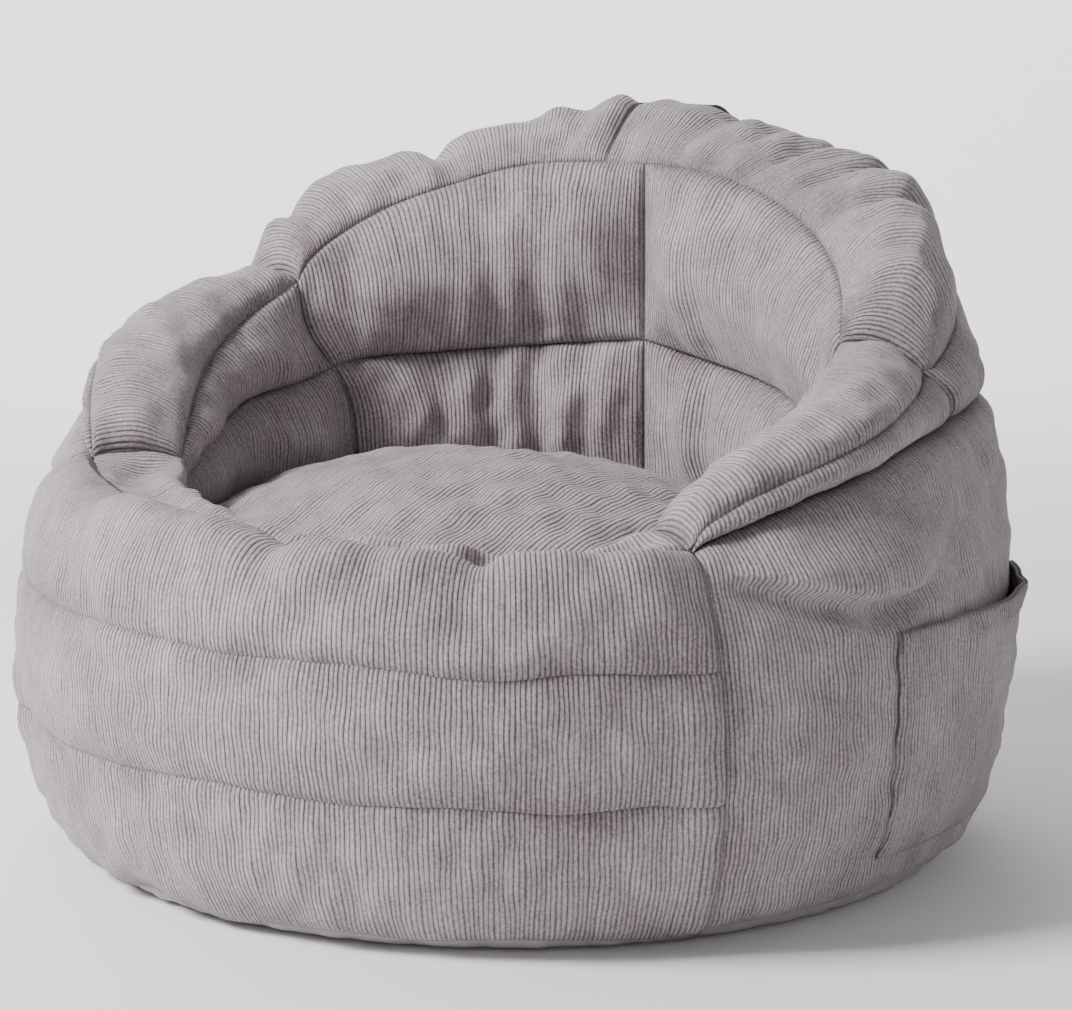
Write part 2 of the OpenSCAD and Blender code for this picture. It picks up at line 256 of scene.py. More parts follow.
def cap(a, t):
    """Arm tops and head roll, from the lining's seam over the crest to the outer seam."""
    knot_lift, left_drop, right_dip = 0.024, 0.020, 0.016
    roll_belly, left_belly = 0.016, 0.012
    inner_r, outer_r = well_edge(a) + flare(a), outer_seam_r(a)
    inner_h, outer_h = inner_seam_h(a), outer_seam_h(a)
    head = ease((fold(a) - knot) / 5)
    crest = crest_h(a) + knot_lift * head * (1 - back_share(a)) ** 2
    crest -= head * (left_drop * ease((a - crown_seam) / 25) + right_dip * hump(a, 160, 21))
    pinch = 1 - 0.45 * hump(fold(a), knot, 2.6) - 0.12 * hump(a, crown_seam, 2.5)
    skew = mix(1, 1.3, head)
    rise = (crest - (inner_h + outer_h) / 2) * arch(t ** skew, 0.6) * pinch
    gather = pleat_depth * folds_at(a, HEAD_PLEATS) * arch(t, 0.5) * mix(0.35, 1, ease(t / 0.75))
    left = ease((a - 215) / 30)
    belly = (roll_belly + left_belly * left) * head * arch(t, 1) * t
    return (mix(inner_r, outer_r, t) + belly - gather * ease((t - 0.5) * 3),
            mix(inner_h, outer_h, t) + rise - gather)


def boxing(a, t):
    r1, h1, r2, h2 = outer_seam_r(a), outer_seam_h(a), belt_r(a), belt_line_h(a)
    wide = np.clip(np.hypot(r1 - r2, h1 - h2) / puff / 3, 0, 1)
    return mix(r1, r2, t) + puff * wide * np.sin(np.pi * t), mix(h1, h2, t)


def side(a, t):
    """A side panel, with one soft fold sagging under the arm."""
    sag_out, fold_half, dent_in = 0.018, 0.026, 0.011
    h = mix(belt_line_h(a), hem_h, t)
    under_arm = ease((fold(a) - side_seam) / 6) * ease((92 - fold(a)) / 14) * ease(t / 0.14)
    under_arm = under_arm * np.where(a < 180, 1, 0.25)
    fold_h = front_h - 0.004 - 0.026 * ease((fold(a) - 56) / 16) + 0.014 * ease((fold(a) - 74) / 12)
    over = np.clip((h - fold_h) / fold_half, -3, 3)
    sag = sag_out * np.exp(-np.where(over > 0, over / 2.0, over * 1.2) ** 2) * ease((over + 0.75) / 0.8)
    dent = -dent_in * hump(h, fold_h - 0.014, dent_in)
    return belly_r(a, t) + under_arm * (sag + dent), h


# Soft folds over the front edge
EDGE_FOLDS = ((-30, 0.4, 4), (2, 1, 3.4), (14, 0.2, 4), (27, 0.8, 2.8))


def channel(low_h, high_h, bulge):
    """One stuffed front band, which runs into the side panels' roundness at its ends."""
    edge_rise = 0.016

    def shape(a, t):
        near_end = ease((side_seam - np.abs(a)) / 6)
        low_r = mix(body_r_at(side_seam, low_h), front_seam_r if low_h > hem_h else base_r, near_end)
        edge_r = front_seam_r if high_h < front_h else front_edge_r
        high_r = mix(body_r_at(side_seam, high_h), edge_r, near_end)
        end_r = body_r_at(side_seam, mix(low_h, high_h, t))
        lower = 1.5 - t if low_h == hem_h else 1
        upper = high_h == front_h
        dent = edge_fold_depth * folds_at(a, EDGE_FOLDS) * ease((t - 0.35) / 0.65) if upper else 0
        puffed = mix(low_r, high_r, t) + bulge * 4 * t * (1 - t) * lower - dent * 0.7
        rise = edge_rise * arch(t ** 2, 1) * near_end if upper else 0
        return mix(end_r, puffed, near_end), mix(low_h, high_h, t) + rise - dent + 0 * a
    return shape


border_drop = 0.25


def border(a, t):
    """Up out of the well beside the seat, then over the front edge."""
    over = np.clip((t - border_drop) / (1 - border_drop), 0, 1)
    drop = np.clip(1 - t / border_drop, 0, 1)
    at_arm = hump(np.abs(a), side_seam, 5)
    soft = (1 - at_arm) * hump(t, border_drop, 0.11)
    rise = mix(-0.014 * arch(over, 2) - 0.012 * soft, arm_lift * arch(over, 0.6), at_arm)
    dent = edge_fold_depth * folds_at(a, EDGE_FOLDS) * ease(over / 0.4)
    r = mix(well_edge(a) + flare(a) * (1 - drop), front_edge_r, over) - 0.7 * dent
    return r, front_h + rise - dent - (front_h - seat_rim_h) * drop


PANELS, CAD_NAMES = {}, {"seat_cushion": "seat_panel"}
for level, low_h, high_h, fat in (
    ("lower", hem_h, seam_low_h, 1.2),
    ("middle", seam_low_h, seam_high_h, 0.8),
    ("upper", seam_high_h, front_h, 1.8),
):
    PANELS[level + "_front_channel"] = (channel(low_h, high_h, puff * fat), -side_seam, side_seam)
    CAD_NAMES[level + "_front_channel"] = "front_channel_" + level
PANELS["front_edge_strip"] = (border, -side_seam, side_seam)
CAD_NAMES["front_edge_strip"] = "front_border"
for name, shape, start, end, node_name in (
    ("side", side, side_seam, 180, "side_panel"),
    ("arm_top", cap, side_seam, knot, "arm_strip"),
    ("arm_gusset", boxing, side_seam, knot, "arm_boxing"),
    ("head_roll", cap, knot, crown_seam, "crown"),
    ("rear_panel", boxing, knot, crown_seam, "outer_back"),
    ("arm_lining_top", inner_upper, side_seam, knot, "inner_arm_upper"),
    ("arm_lining_low", inner_lower, side_seam, knot, "inner_arm_lower"),
    ("backrest_top", inner_upper, knot, 180, "inner_back_upper"),
    ("backrest_low", inner_lower, knot, 180, "inner_back_lower"),
):
    # Panels that reach the middle of the back meet there. The others are mirrored.
    meet = end if end >= 180 else 360 - end
    PANELS["right_" + name] = (shape, start, end)
    PANELS["left_" + name] = (shape, meet, 360 - start)
    for hand in ("right", "left"):
        CAD_NAMES[f"{hand}_{name}"] = f"{node_name}_{hand}"


def placed(a, r, h):
    a = np.radians(a)
    return np.stack([r * np.sin(a), -r * np.cos(a), h + 0 * a], axis=-1)


def ripple(points, size, seed):
    """Smooth noise of about -1 to 1 over points, with features of about this size."""
    rng = np.random.default_rng(seed)
    total = np.zeros(points.shape[:-1])
    for _ in range(10):
        way = rng.normal(size=3)
        way *= 2 * math.pi / size * rng.uniform(0.6, 1.4) / np.linalg.norm(way)
        total += np.sin(points @ way + rng.uniform(0, 2 * math.pi))
    return total / 3.2


def pushed_back(p):
    """Plump arms crowd the seat well, so their lining meets the back's further round near the seat."""
    shove = 9
    x, y, z = p[..., 0], p[..., 1], p[..., 2]
    a = np.degrees(np.arctan2(x, -y)) % 360
    share = ease((well_edge(a) + 0.030 - np.hypot(x, y)) / 0.02) * ease((0.40 - z) / 0.11)
    turn = np.radians(shove * hump(fold(a), knot, 20) * share * np.where(a > 180, -1, 1))
    return np.stack([x * np.cos(turn) - y * np.sin(turn), x * np.sin(turn) + y * np.cos(turn), z], axis=-1)


def settled(p):
    """The slump of the filled bag: the upper part leans down to the right, and seams wander a little."""
    lean, wander = 0.045, 0.0022
    p = pushed_back(p)
    lift = ease((p[..., 2] - 0.13) / 0.16)
    p[..., 2] -= lean * p[..., 0] * lift
    out = p * np.array([1, 1, 0])
    out /= np.maximum(np.linalg.norm(out, axis=-1, keepdims=True), 0.05)
    high = ease((p[..., 2] - 0.02) / 0.05)
    p += out * (wander * high * ripple(p, 0.16, 3))[..., None]
    p[..., 2] += wander * high * ripple(p, 0.14, 4)
    p[..., 2] += hump(p[..., 2], hem_h, 0.02) * (wander * ripple(p, 0.07, 9) - hem_drop)
    return p


def panel_grid(name):
    """A panel's points, spaced by a first rough measure of its width and height."""
    shape, start, end = PANELS[name]

    def laid(columns, rows):
        a, t = np.meshgrid(np.linspace(start, end, columns), np.linspace(0, 1, rows))
        return placed(a, *shape(a, t))

    rough = laid(60, 30)
    wide = np.linalg.norm(np.diff(rough, axis=1), axis=2).sum(axis=1).max()
    tall = np.linalg.norm(np.diff(rough, axis=0), axis=2).sum(axis=0).max()
    columns = max(8, round(wide / grid_step))
    rows = max(5, round(tall / grid_step))
    return settled(laid(columns + 1, rows + 1))


def seat_grid():
    n = round(2 * well_r / grid_step)
    u, v = np.meshgrid(np.linspace(-1, 1, n + 1), np.linspace(-1, 1, n + 1))
    x, y = u * np.sqrt(1 - v * v / 2), v * np.sqrt(1 - u * u / 2)
    rim = np.clip(np.hypot(x, y), 0, 1)
    r = well_r - seat_gap
    z = mix(seat_rim_h + 0.002, seat_crest_h - 0.004, 1 - rim ** 2.1)
    return settled(np.stack([x * r, y * r - well_shift, z], axis=-1))


# ---- meshes from grids


def linked(name, data):
    thing = bpy.data.objects.new(name, data)
    bpy.context.collection.objects.link(thing)
    return thing


def mesh_object(name, verts, faces):
    mesh = bpy.data.meshes.new(name)
    mesh.from_pydata([tuple(v) for v in verts], [], faces)
    mesh.update()
    return linked(name, mesh)


def grid_faces(rows, columns, first=0):
    i = np.arange(rows - 1)[:, None] * columns + np.arange(columns - 1)[None, :] + first
    i = i.ravel()
    return np.stack([i, i + columns, i + columns + 1, i + 1], axis=1).tolist()


def choose(piece):
    bpy.ops.object.select_all(action="DESELECT")
    piece.select_set(True)
    bpy.context.view_layer.objects.active = piece


def puffed(grids, pressure, spare, frames=20, reach=0.02):
    """Swells the panels between their seams as one cloth simulation, with the seams held."""
    verts, faces, held, first = [], [], [], 0
    for grid in grids:
        rows, columns = grid.shape[:2]
        verts.append(grid.reshape(-1, 3))
        faces += grid_faces(rows, columns, first)
        edge = np.zeros((rows, columns), bool)
        edge[0] = edge[-1] = edge[:, 0] = edge[:, -1] = True
        held += (np.nonzero(edge.ravel())[0] + first).tolist()
        first += rows * columns
    start = np.concatenate(verts)
    cover = mesh_object("cover_blank", start, faces)
    group = cover.vertex_groups.new(name="seams")
    group.add([int(i) for i in held], 1.0, "REPLACE")
    cloth = cover.modifiers.new("Cloth", "CLOTH")
    s = cloth.settings
    s.quality = 5
    s.mass = 0.3
    s.tension_stiffness = 15
    s.compression_stiffness = 15
    s.shear_stiffness = 5
    s.bending_stiffness = 1.4
    s.use_pressure = True
    s.uniform_pressure_force = pressure
    s.shrink_min = -spare
    s.vertex_group_mass = "seams"
    s.effector_weights.gravity = 0
    scene = bpy.context.scene
    cloth.point_cache.frame_start = 1
    cloth.point_cache.frame_end = frames
    for f in range(1, frames + 1):
        scene.frame_set(f)
    done = cover.evaluated_get(bpy.context.evaluated_depsgraph_get())
    moved = np.empty(len(start) * 3)
    done.data.vertices.foreach_get("co", moved)
    moved = moved.reshape(-1, 3)
    step = moved - start
    far = np.linalg.norm(step, axis=1, keepdims=True)
    moved = start + step * np.minimum(1, reach / np.maximum(far, 1e-9))
    scene.frame_set(1)
    bpy.data.objects.remove(cover)
    out, first = [], 0
    for grid in grids:
        n = grid.shape[0] * grid.shape[1]
        out.append(moved[first:first + n].reshape(grid.shape))
        first += n
    return out


def finer(grid):
    """The same surface with twice the rows and columns, on smooth curves."""
    for _ in range(2):
        p = grid
        mid = np.empty((len(p) - 1,) + p.shape[1:])
        mid[1:-1] = (9 * (p[1:-2] + p[2:-1]) - p[:-3] - p[3:]) / 16
        mid[0] = (3 * p[0] + 6 * p[1] - p[2]) / 8
        mid[-1] = (3 * p[-1] + 6 * p[-2] - p[-3]) / 8
        out = np.empty((2 * len(p) - 1,) + p.shape[1:])
        out[0::2] = p
        out[1::2] = mid
        grid = out.swapaxes(0, 1)
    return grid


def grid_normals(grid):
    across = np.gradient(grid, axis=1)
    along = np.gradient(grid, axis=0)
    n = np.cross(along, across)
    return n / np.maximum(np.linalg.norm(n, axis=2, keepdims=True), 1e-12)


def edge_distance(grid):
    """Distance of each point from the panel's nearest seam, along the grid."""
    across = np.linalg.norm(np.diff(grid, axis=1), axis=2)
    along = np.linalg.norm(np.diff(grid, axis=0), axis=2)
    u = np.concatenate([np.zeros((len(grid), 1)), np.cumsum(across, axis=1)], axis=1)
    v = np.concatenate([np.zeros((1, grid.shape[1])), np.cumsum(along, axis=0)], axis=0)
    return np.minimum(np.minimum(u, u[:, -1:] - u), np.minimum(v, v[-1:] - v)), u, v


def give_cut_uv(piece, u, v, near):
    """The flat cut's own map in metres, and a mask that is 1 on the seams, used to paint shade along them.
    """
    uv = np.stack([u, v], axis=-1).reshape(-1, 2)
    layer = piece.data.uv_layers.new(name="cut")
    loops = np.empty(len(piece.data.loops), np.int32)
    piece.data.loops.foreach_get("vertex_index", loops)
    layer.data.foreach_set("uv", uv[loops].astype(np.float32).ravel())
    # The seam mask carries painted shade: the corduroy is darkened along the seams with it.
    seam = piece.data.attributes.new("seam", "FLOAT", "POINT")
    seam.data.foreach_set("value", np.exp(-near / 0.012).astype(np.float32).ravel())


def inward(p):
    """Direction from the cover to the middle of the stuffing behind it, the same for panels that meet."""
    a = np.degrees(np.arctan2(p[..., 0], -p[..., 1])) % 360
    r = np.hypot(p[..., 0], p[..., 1])
    on_seat = ease((well_edge(a) - 0.004 - r) / 0.02)
    way = (well_edge(a) + outer_seam_r(a)) / 2 - r
    down = np.minimum(0, crest_h(a) - 0.05 - p[..., 2])
    way, down = mix(way, 0, on_seat), mix(down, -1, on_seat)
    turn = np.radians(a)
    out = np.stack([way * np.sin(turn), -way * np.cos(turn), down], axis=-1)
    return out / np.maximum(np.linalg.norm(out, axis=-1, keepdims=True), 1e-6)


def walled(piece, thick, offset):
    """Gives a sheet its thickness, to one side."""
    choose(piece)
    wall = piece.modifiers.new("Wall", "SOLIDIFY")
    wall.thickness = thick
    wall.offset = offset
    bpy.ops.object.modifier_apply(modifier=wall.name)
    bpy.ops.object.shade_smooth()
    return piece


def sewn_panel(name, grid, from_above=False):
    """A cover panel with tucked seams and stitch marks. Its cut runs along it, or is laid from above."""
    near, u, v = edge_distance(grid)
    rows, columns = grid.shape[:2]
    middle = rows // 2
    cut = np.broadcast_to(u[middle], u.shape) - u[middle, columns // 2], v
    if from_above:
        cut = grid[..., 0], grid[..., 1]
    tuck = seam_depth * np.exp(-near / 0.0035)
    beside_seam = np.exp(-((near - 0.007) / 0.005) ** 2)
    stitch = stitch_depth * beside_seam * np.sin((u + v) * 2 * math.pi / stitch_length)
    grid = grid + inward(grid) * tuck[..., None] - grid_normals(grid) * stitch[..., None]
    piece = mesh_object(name, grid.reshape(-1, 3), grid_faces(rows, columns))
    give_cut_uv(piece, *cut, near)
    return walled(piece, fabric, -1)


def sheet_from_grid(name, grid, thick, edge_depth):
    """A flat-cut sheet with thinned edges and its wall on the outside."""
    near, u, v = edge_distance(grid)
    rows, columns = grid.shape[:2]
    grid = grid - grid_normals(grid) * (edge_depth * np.exp(-near / 0.004))[..., None]
    piece = mesh_object(name, grid.reshape(-1, 3), grid_faces(rows, columns))
    give_cut_uv(piece, u - u[:, columns // 2:columns // 2 + 1], v, near)
    return walled(piece, thick, 1)


# ---- materials


def node(tree, kind, **values):
    n = tree.nodes.new(kind)
    for key, value in values.items():
        setattr(n, key, value)
    return n


def join(tree, source, target):
    tree.links.new(source, target)


def math_node(tree, operation, a, b=None):
    n = node(tree, "ShaderNodeMath", operation=operation)
    for socket, value in zip(n.inputs, (a, b)):
        if value is None:
            continue
        if isinstance(value, (int, float)):
            socket.default_value = value
        else:
            join(tree, value, socket)
    return n.outputs[0]


def weighed(tree, *parts):
    """Sum of sockets, each given with its weight."""
    total = None
    for value, weight in parts:
        value = value if weight == 1 else math_node(tree, "MULTIPLY", value, weight)
        total = value if total is None else math_node(tree, "ADD", total, value)
    return total


def noise_node(tree, place, scale, detail=2, rough=0.5):
    n = node(tree, "ShaderNodeTexNoise")
    for name, value in (("Scale", scale), ("Detail", detail), ("Roughness", rough)):
        n.inputs[name].default_value = value
    join(tree, place, n.inputs["Vector"])
    return n


def object_place(tree):
    return node(tree, "ShaderNodeTexCoord").outputs["Object"]


def ramp_between(tree, value, low, high, low_at=0.0, high_at=1.0):
    ramp = node(tree, "ShaderNodeValToRGB")
    for stop, at, colour in zip(ramp.color_ramp.elements, (low_at, high_at), (low, high)):
        stop.position = at
        stop.color = (*colour, 1)
    join(tree, value, ramp.inputs[0])
    return ramp.outputs[0]


def new_material(name, roughness, specular=0.5):
    mat = bpy.data.materials.new(name)
    mat.use_nodes = True
    shader = mat.node_tree.nodes["Principled BSDF"]
    shader.inputs["Roughness"].default_value = roughness
    shader.inputs["Specular IOR Level"].default_value = specular
    return mat, mat.node_tree, shader


def raised(tree, shader, height, distance, strength=1.0, invert=False):
    bump = node(tree, "ShaderNodeBump", invert=invert)
    bump.inputs["Strength"].default_value = strength
    bump.inputs["Distance"].default_value = distance
    join(tree, height, bump.inputs["Height"])
    join(tree, bump.outputs[0], shader.inputs["Normal"])


def new_group(name, inputs, outputs):
    tree = bpy.data.node_groups.new(name, "ShaderNodeTree")
    for way, names in (("INPUT", inputs), ("OUTPUT", outputs)):
        for socket in names:
            tree.interface.new_socket(socket, in_out=way, socket_type="NodeSocketFloat")
    return tree, node(tree, "NodeGroupInput"), node(tree, "NodeGroupOutput")


def nap_group():
    """Nap of brushed cord: fine flecks, and soft clouds where the pile lies another way."""
    tree, start, end = new_group("brushed_nap", ("Fleck Scale", "Cloud Scale"), ("Fleck", "Cloud"))
    place = object_place(tree)
    for name, detail, rough in (("Fleck", 2, 0.6), ("Cloud", 5, 0.62)):
        noise = noise_node(tree, place, 1, detail, rough)
        join(tree, start.outputs[name + " Scale"], noise.inputs["Scale"])
        join(tree, noise.outputs[0], end.inputs[name])
    return tree


def wale_group():
    """Ribs of corduroy across the cut's own map: Rib is 1 on a rib and 0 in every second, deeper groove.

    Tone changes from rib to rib, and Streak in broader runs along them."""
    drift, sharpness = 0.0022, 0.38
    tree, start, end = new_group("cord_ribs", ("Pitch",), ("Rib", "Tone", "Streak"))
    split = node(tree, "ShaderNodeSeparateXYZ")
    join(tree, node(tree, "ShaderNodeUVMap", uv_map="cut").outputs[0], split.inputs[0])
    wander = noise_node(tree, object_place(tree), 14)
    shift = math_node(tree, "MULTIPLY", math_node(tree, "SUBTRACT", wander.outputs[0], 0.5), drift)
    shifted = math_node(tree, "ADD", split.outputs[0], shift)
    across = math_node(tree, "DIVIDE", shifted, start.outputs["Pitch"])
    ribs = []
    for turns, share in ((math.pi, 0.8), (math.pi / 2, 0.2)):
        wave = math_node(tree, "SINE", math_node(tree, "MULTIPLY", across, turns))
        rib = math_node(tree, "POWER", math_node(tree, "ABSOLUTE", wave), sharpness)
        ribs.append((rib, share))
    join(tree, weighed(tree, *ribs), end.inputs["Rib"])
    tracks = (("Tone", math_node(tree, "MULTIPLY", math_node(tree, "FLOOR", across), 7.31), 55),
              ("Streak", math_node(tree, "MULTIPLY", across, 4.1), 26))
    for name, wide, long in tracks:
        spread = node(tree, "ShaderNodeCombineXYZ")
        join(tree, wide, spread.inputs[0])
        join(tree, math_node(tree, "MULTIPLY", split.outputs[1], long), spread.inputs[1])
        join(tree, noise_node(tree, spread.outputs[0], 1).outputs[0], end.inputs[name])
    return tree


def grouped(tree, group, **values):
    n = node(tree, "ShaderNodeGroup", node_tree=group)
    for key, value in values.items():
        n.inputs[key.replace("_", " ")].default_value = value
    return n


def corduroy():
    mat, tree, shader = new_material("corduroy", 0.95, 0.15)
    ribs = grouped(tree, wale_group(), Pitch=wale).outputs
    nap = grouped(tree, nap_group(), Fleck_Scale=420, Cloud_Scale=16).outputs
    seam = node(tree, "ShaderNodeAttribute", attribute_name="seam").outputs["Fac"]
    # The seam mask takes 0.08 off the tone along the seams: painted shade in the seam tucks.
    tone = weighed(tree, (nap["Fleck"], 0.42), (nap["Cloud"], 0.34), (ribs["Tone"], 0.10),
                   (ribs["Streak"], 0.20), (ribs["Rib"], 0.46), (seam, -0.08))
    tone = math_node(tree, "SUBTRACT", tone, 0.09)
    dye = ramp_between(tree, tone, (0.118, 0.094, 0.101), (0.500, 0.440, 0.455), low_at=0.62)
    tint = ramp_between(tree, nap["Cloud"], (1.0, 0.962, 0.974), (0.975, 0.972, 0.974), 0.36, 0.62)
    dyed = node(tree, "ShaderNodeMix", data_type="RGBA", blend_type="MULTIPLY")
    dyed.inputs["Factor"].default_value = 1
    join(tree, dye, dyed.inputs[6])
    join(tree, tint, dyed.inputs[7])
    join(tree, dyed.outputs[2], shader.inputs["Base Color"])
    height = weighed(tree, (ribs["Rib"], 1), (nap["Fleck"], 0.35), (ribs["Streak"], 0.5))
    raised(tree, shader, height, 0.0015, strength=0.9)
    shader.inputs["Sheen Weight"].default_value = 0.25
    shader.inputs["Sheen Roughness"].default_value = 0.45
    return mat


def beads_material():
    mat, tree, shader = new_material("white_beads", 0.7)
    cells = node(tree, "ShaderNodeTexVoronoi")
    cells.inputs["Scale"].default_value = 260
    join(tree, object_place(tree), cells.inputs["Vector"])
    # Each bead is painted lighter in its middle and darker towards its edges: painted shade between the
    # beads.
    colour = ramp_between(tree, cells.outputs["Distance"], (0.80, 0.78, 0.74), (0.62, 0.60, 0.56))
    join(tree, colour, shader.inputs["Base Color"])
    raised(tree, shader, cells.outputs["Distance"], 0.002, invert=True)
    return mat


def woven(name, dark, light, threads, roughness, depth=0.0003):
    """Plain weave on object coordinates: two crossed sets of threads with a little colour variation."""
    mat, tree, shader = new_material(name, roughness, 0.2)
    place = object_place(tree)
    split = node(tree, "ShaderNodeSeparateXYZ")
    join(tree, place, split.inputs[0])
    ways = []
    for axis in (0, 2):
        turns = math_node(tree, "MULTIPLY", split.outputs[axis], threads * math.pi)
        ways.append(math_node(tree, "ABSOLUTE", math_node(tree, "SINE", turns)))
    weave = math_node(tree, "MULTIPLY", ways[0], ways[1])
    noise = noise_node(tree, place, 90, 4)
    tone = weighed(tree, (weave, 0.5), (noise.outputs[0], 0.6))
    join(tree, ramp_between(tree, tone, dark, light), shader.inputs["Base Color"])
    raised(tree, shader, weave, depth)
    return mat


def lining_cloth():
    return woven("smooth_lining", (0.34, 0.295, 0.31), (0.50, 0.44, 0.455), 900, 0.8)


def moulded(name, colour=(0.035, 0.033, 0.036)):
    mat, tree, shader = new_material(name, 0.45)
    grain = noise_node(tree, object_place(tree), 700).outputs[0]
    dyed = ramp_between(tree, grain, [c * 0.8 for c in colour], [c * 1.3 for c in colour])
    join(tree, dyed, shader.inputs["Base Color"])
    raised(tree, shader, grain, 0.0001)
    return mat


# ---- handle and label


def make_handle():
    """A webbing arch on two sewn rolls, in the place that the frame's hinge gives."""
    hinge = next(j for j in frame["joints"] if j["name"] == "handle_swing")
    middle = np.array(hinge["pos_m"])
    across = -np.array(hinge["axis"])
    back = np.array([-across[1], across[0], 0])
    lean = math.radians(20)
    rise = math.cos(lean) * np.array([0, 0, 1]) + math.sin(lean) * back
    face = math.cos(lean) * back - math.sin(lean) * np.array([0, 0, 1])
    half, top, bend = 0.065, 0.046, 0.020
    thick, wide, neck, crease, sag = 0.003, 0.026, 0.009, 0.0007, 0.0006
    roll_long, roll_d, roll_gap = 0.016, 0.009, 0.0005

    # The arch as (along, up): a straight leg and its bend, the top, and the same leg again
    leg = [(-half, z) for z in np.linspace(0, top - bend, 8)]
    leg += [(-half + bend - bend * math.cos(q), top - bend + bend * math.sin(q))
            for q in np.radians(np.arange(9, 90, 9))]
    run = leg + [(x, top + sag * math.cos(x * 60)) for x in np.linspace(-half + bend, half - bend, 24)]
    run = np.array(run + [(-x, z) for x, z in leg[::-1]])
    way = np.gradient(run, axis=0)
    way /= np.linalg.norm(way, axis=1, keepdims=True)
    rings = []
    for (x, z), (dx, dz) in zip(run, way):
        through = np.array([dz, -dx])
        broad = mix(neck, wide, ease((z - 0.007) / 0.010)) / 2
        low = [(-broad, thick / 2), (-broad + 0.001, 0.0002), (-broad + 0.003, 0), (0, crease * 0.3),
               (broad - 0.003, 0), (broad - 0.001, 0.0002)]
        section = low + [(-u, thick - d) for u, d in low]
        ring = []
        for u, d in section:
            px, pz = np.array([x, z]) + through * d
            ring.append(tuple(middle + across * px + rise * pz + face * u))
        rings.append(ring)
    strap = closed_sweep("grab_strap", rings)
    outward(strap)
    choose(strap)
    bpy.ops.object.shade_smooth_by_angle(angle=math.radians(40))
    web = woven("black_webbing", (0.010, 0.010, 0.011), (0.045, 0.043, 0.047), 420, 0.6, 0.0006)

    def roll(name, x):
        bpy.ops.object.select_all(action="DESELECT")
        bpy.ops.mesh.primitive_cylinder_add(
            vertices=40, radius=roll_d / 2, depth=roll_long, location=tuple(middle + across * x),
            rotation=(0, math.pi / 2, math.atan2(across[1], across[0])))
        piece = bpy.context.active_object
        piece.name = name
        bpy.ops.object.transform_apply(location=True, rotation=True, scale=True)
        rounded(piece, 0.0012, 3)
        return piece

    sides = (("right", 1), ("left", -1))
    pieces = [strap] + [roll("grab_strap_roll_" + side, sign * half) for side, sign in sides]
    for piece in pieces:
        piece.data.materials.append(web)
        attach(piece, "handle")
    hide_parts("carry_handle")
    for side, sign in sides:
        loop = roll("sewn_loop_" + side, sign * (half + roll_long + roll_gap))
        loop.data.materials.append(web)
        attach(loop, "chair")
        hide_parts("handle_anchors")


def make_label():
    """A blank label caught in the hem at the rear left."""
    angle, wide, long, curl, wave = 236, 0.030, 0.032, math.radians(20), 0.0012
    u = np.linspace(-0.5, 0.5, 17)[None, :]
    v = np.linspace(0, 1, 17)[:, None]
    out = base_r - 0.0010 + long * v * math.cos(curl) + 0 * u
    droop = 0.7 * long * v * math.sin(curl)
    h = hem_h - 0.0060 - droop - 0.0016 * np.sin(v * 2.2) + wave * np.sin(2 * math.pi * u) * v
    a = math.radians(angle)
    front, side = np.array([math.sin(a), -math.cos(a), 0]), np.array([math.cos(a), math.sin(a), 0])
    grid = out[..., None] * front + (wide * u + 0 * v)[..., None] * side
    grid = grid + (h + 0 * u)[..., None] * [0, 0, 1]
    label = sheet_from_grid("blank_label", grid, 0.0008, 0)
    satin = woven("label_satin", (0.70, 0.69, 0.67), (0.84, 0.83, 0.81), 1600, 0.5, 0.0001)
    label.data.materials.append(satin)
    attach(label, "chair")
    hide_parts("care_label")


# ---- the chair


def make_cover():
    names = list(PANELS) + ["seat_cushion"]
    grids = [panel_grid(n) for n in PANELS] + [seat_grid()]
    starts = []
    for k, grid in enumerate(grids):
        normal = grid_normals(grid)
        near = edge_distance(grid)[0]
        dimples = 0.0015 * ripple(grid, 0.035, 20 + k) * ease(near / 0.012)
        starts.append(grid + normal * dimples[..., None])
    starts = puffed(starts, pressure=6.0, spare=0.035)
    cloth = corduroy()
    pieces = {}
    for name, grid in zip(names, starts):
        grid = finer(grid)
        if name.endswith("_side"):
            grid = flat_under_zip(grid)
        piece = sewn_panel(name, grid, from_above=name == "seat_cushion")
        piece.data.materials.append(cloth)
        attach(piece, "chair")
        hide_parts(CAD_NAMES[name])
        pieces[name] = piece
    return pieces, cloth


# ---- filling and base


def closed_sweep(name, rings):
    """Closed solid through rings of points, flat at both ends."""
    n, verts, faces = len(rings[0]), [p for ring in rings for p in ring], []
    for s in range(len(rings) - 1):
        for k in range(n):
            a, b = s * n + k, s * n + (k + 1) % n
            faces.append((a, b, b + n, a + n))
    faces.append(tuple(range(n - 1, -1, -1)))
    faces.append(tuple((len(rings) - 1) * n + k for k in range(n)))
    return mesh_object(name, verts, faces)


def lathe(name, profile, steps=144):
    """Closed solid of revolution; the profile runs from the axis back to the axis."""
    verts, faces = [], []
    inner = profile[1:-1]
    n = len(inner)
    for s in range(steps):
        a = 2 * math.pi * s / steps
        verts += [(r * math.sin(a), -r * math.cos(a), h) for r, h in inner]
    low, high = len(verts), len(verts) + 1
    verts += [(0, 0, profile[0][1]), (0, 0, profile[-1][1])]
    for s in range(steps):
        a, b = s * n, (s + 1) % steps * n
        faces += [(a + k, b + k, b + k + 1, a + k + 1) for k in range(n - 1)]
        faces += [(low, b, a), (high, a + n - 1, b + n - 1)]
    return mesh_object(name, verts, faces)


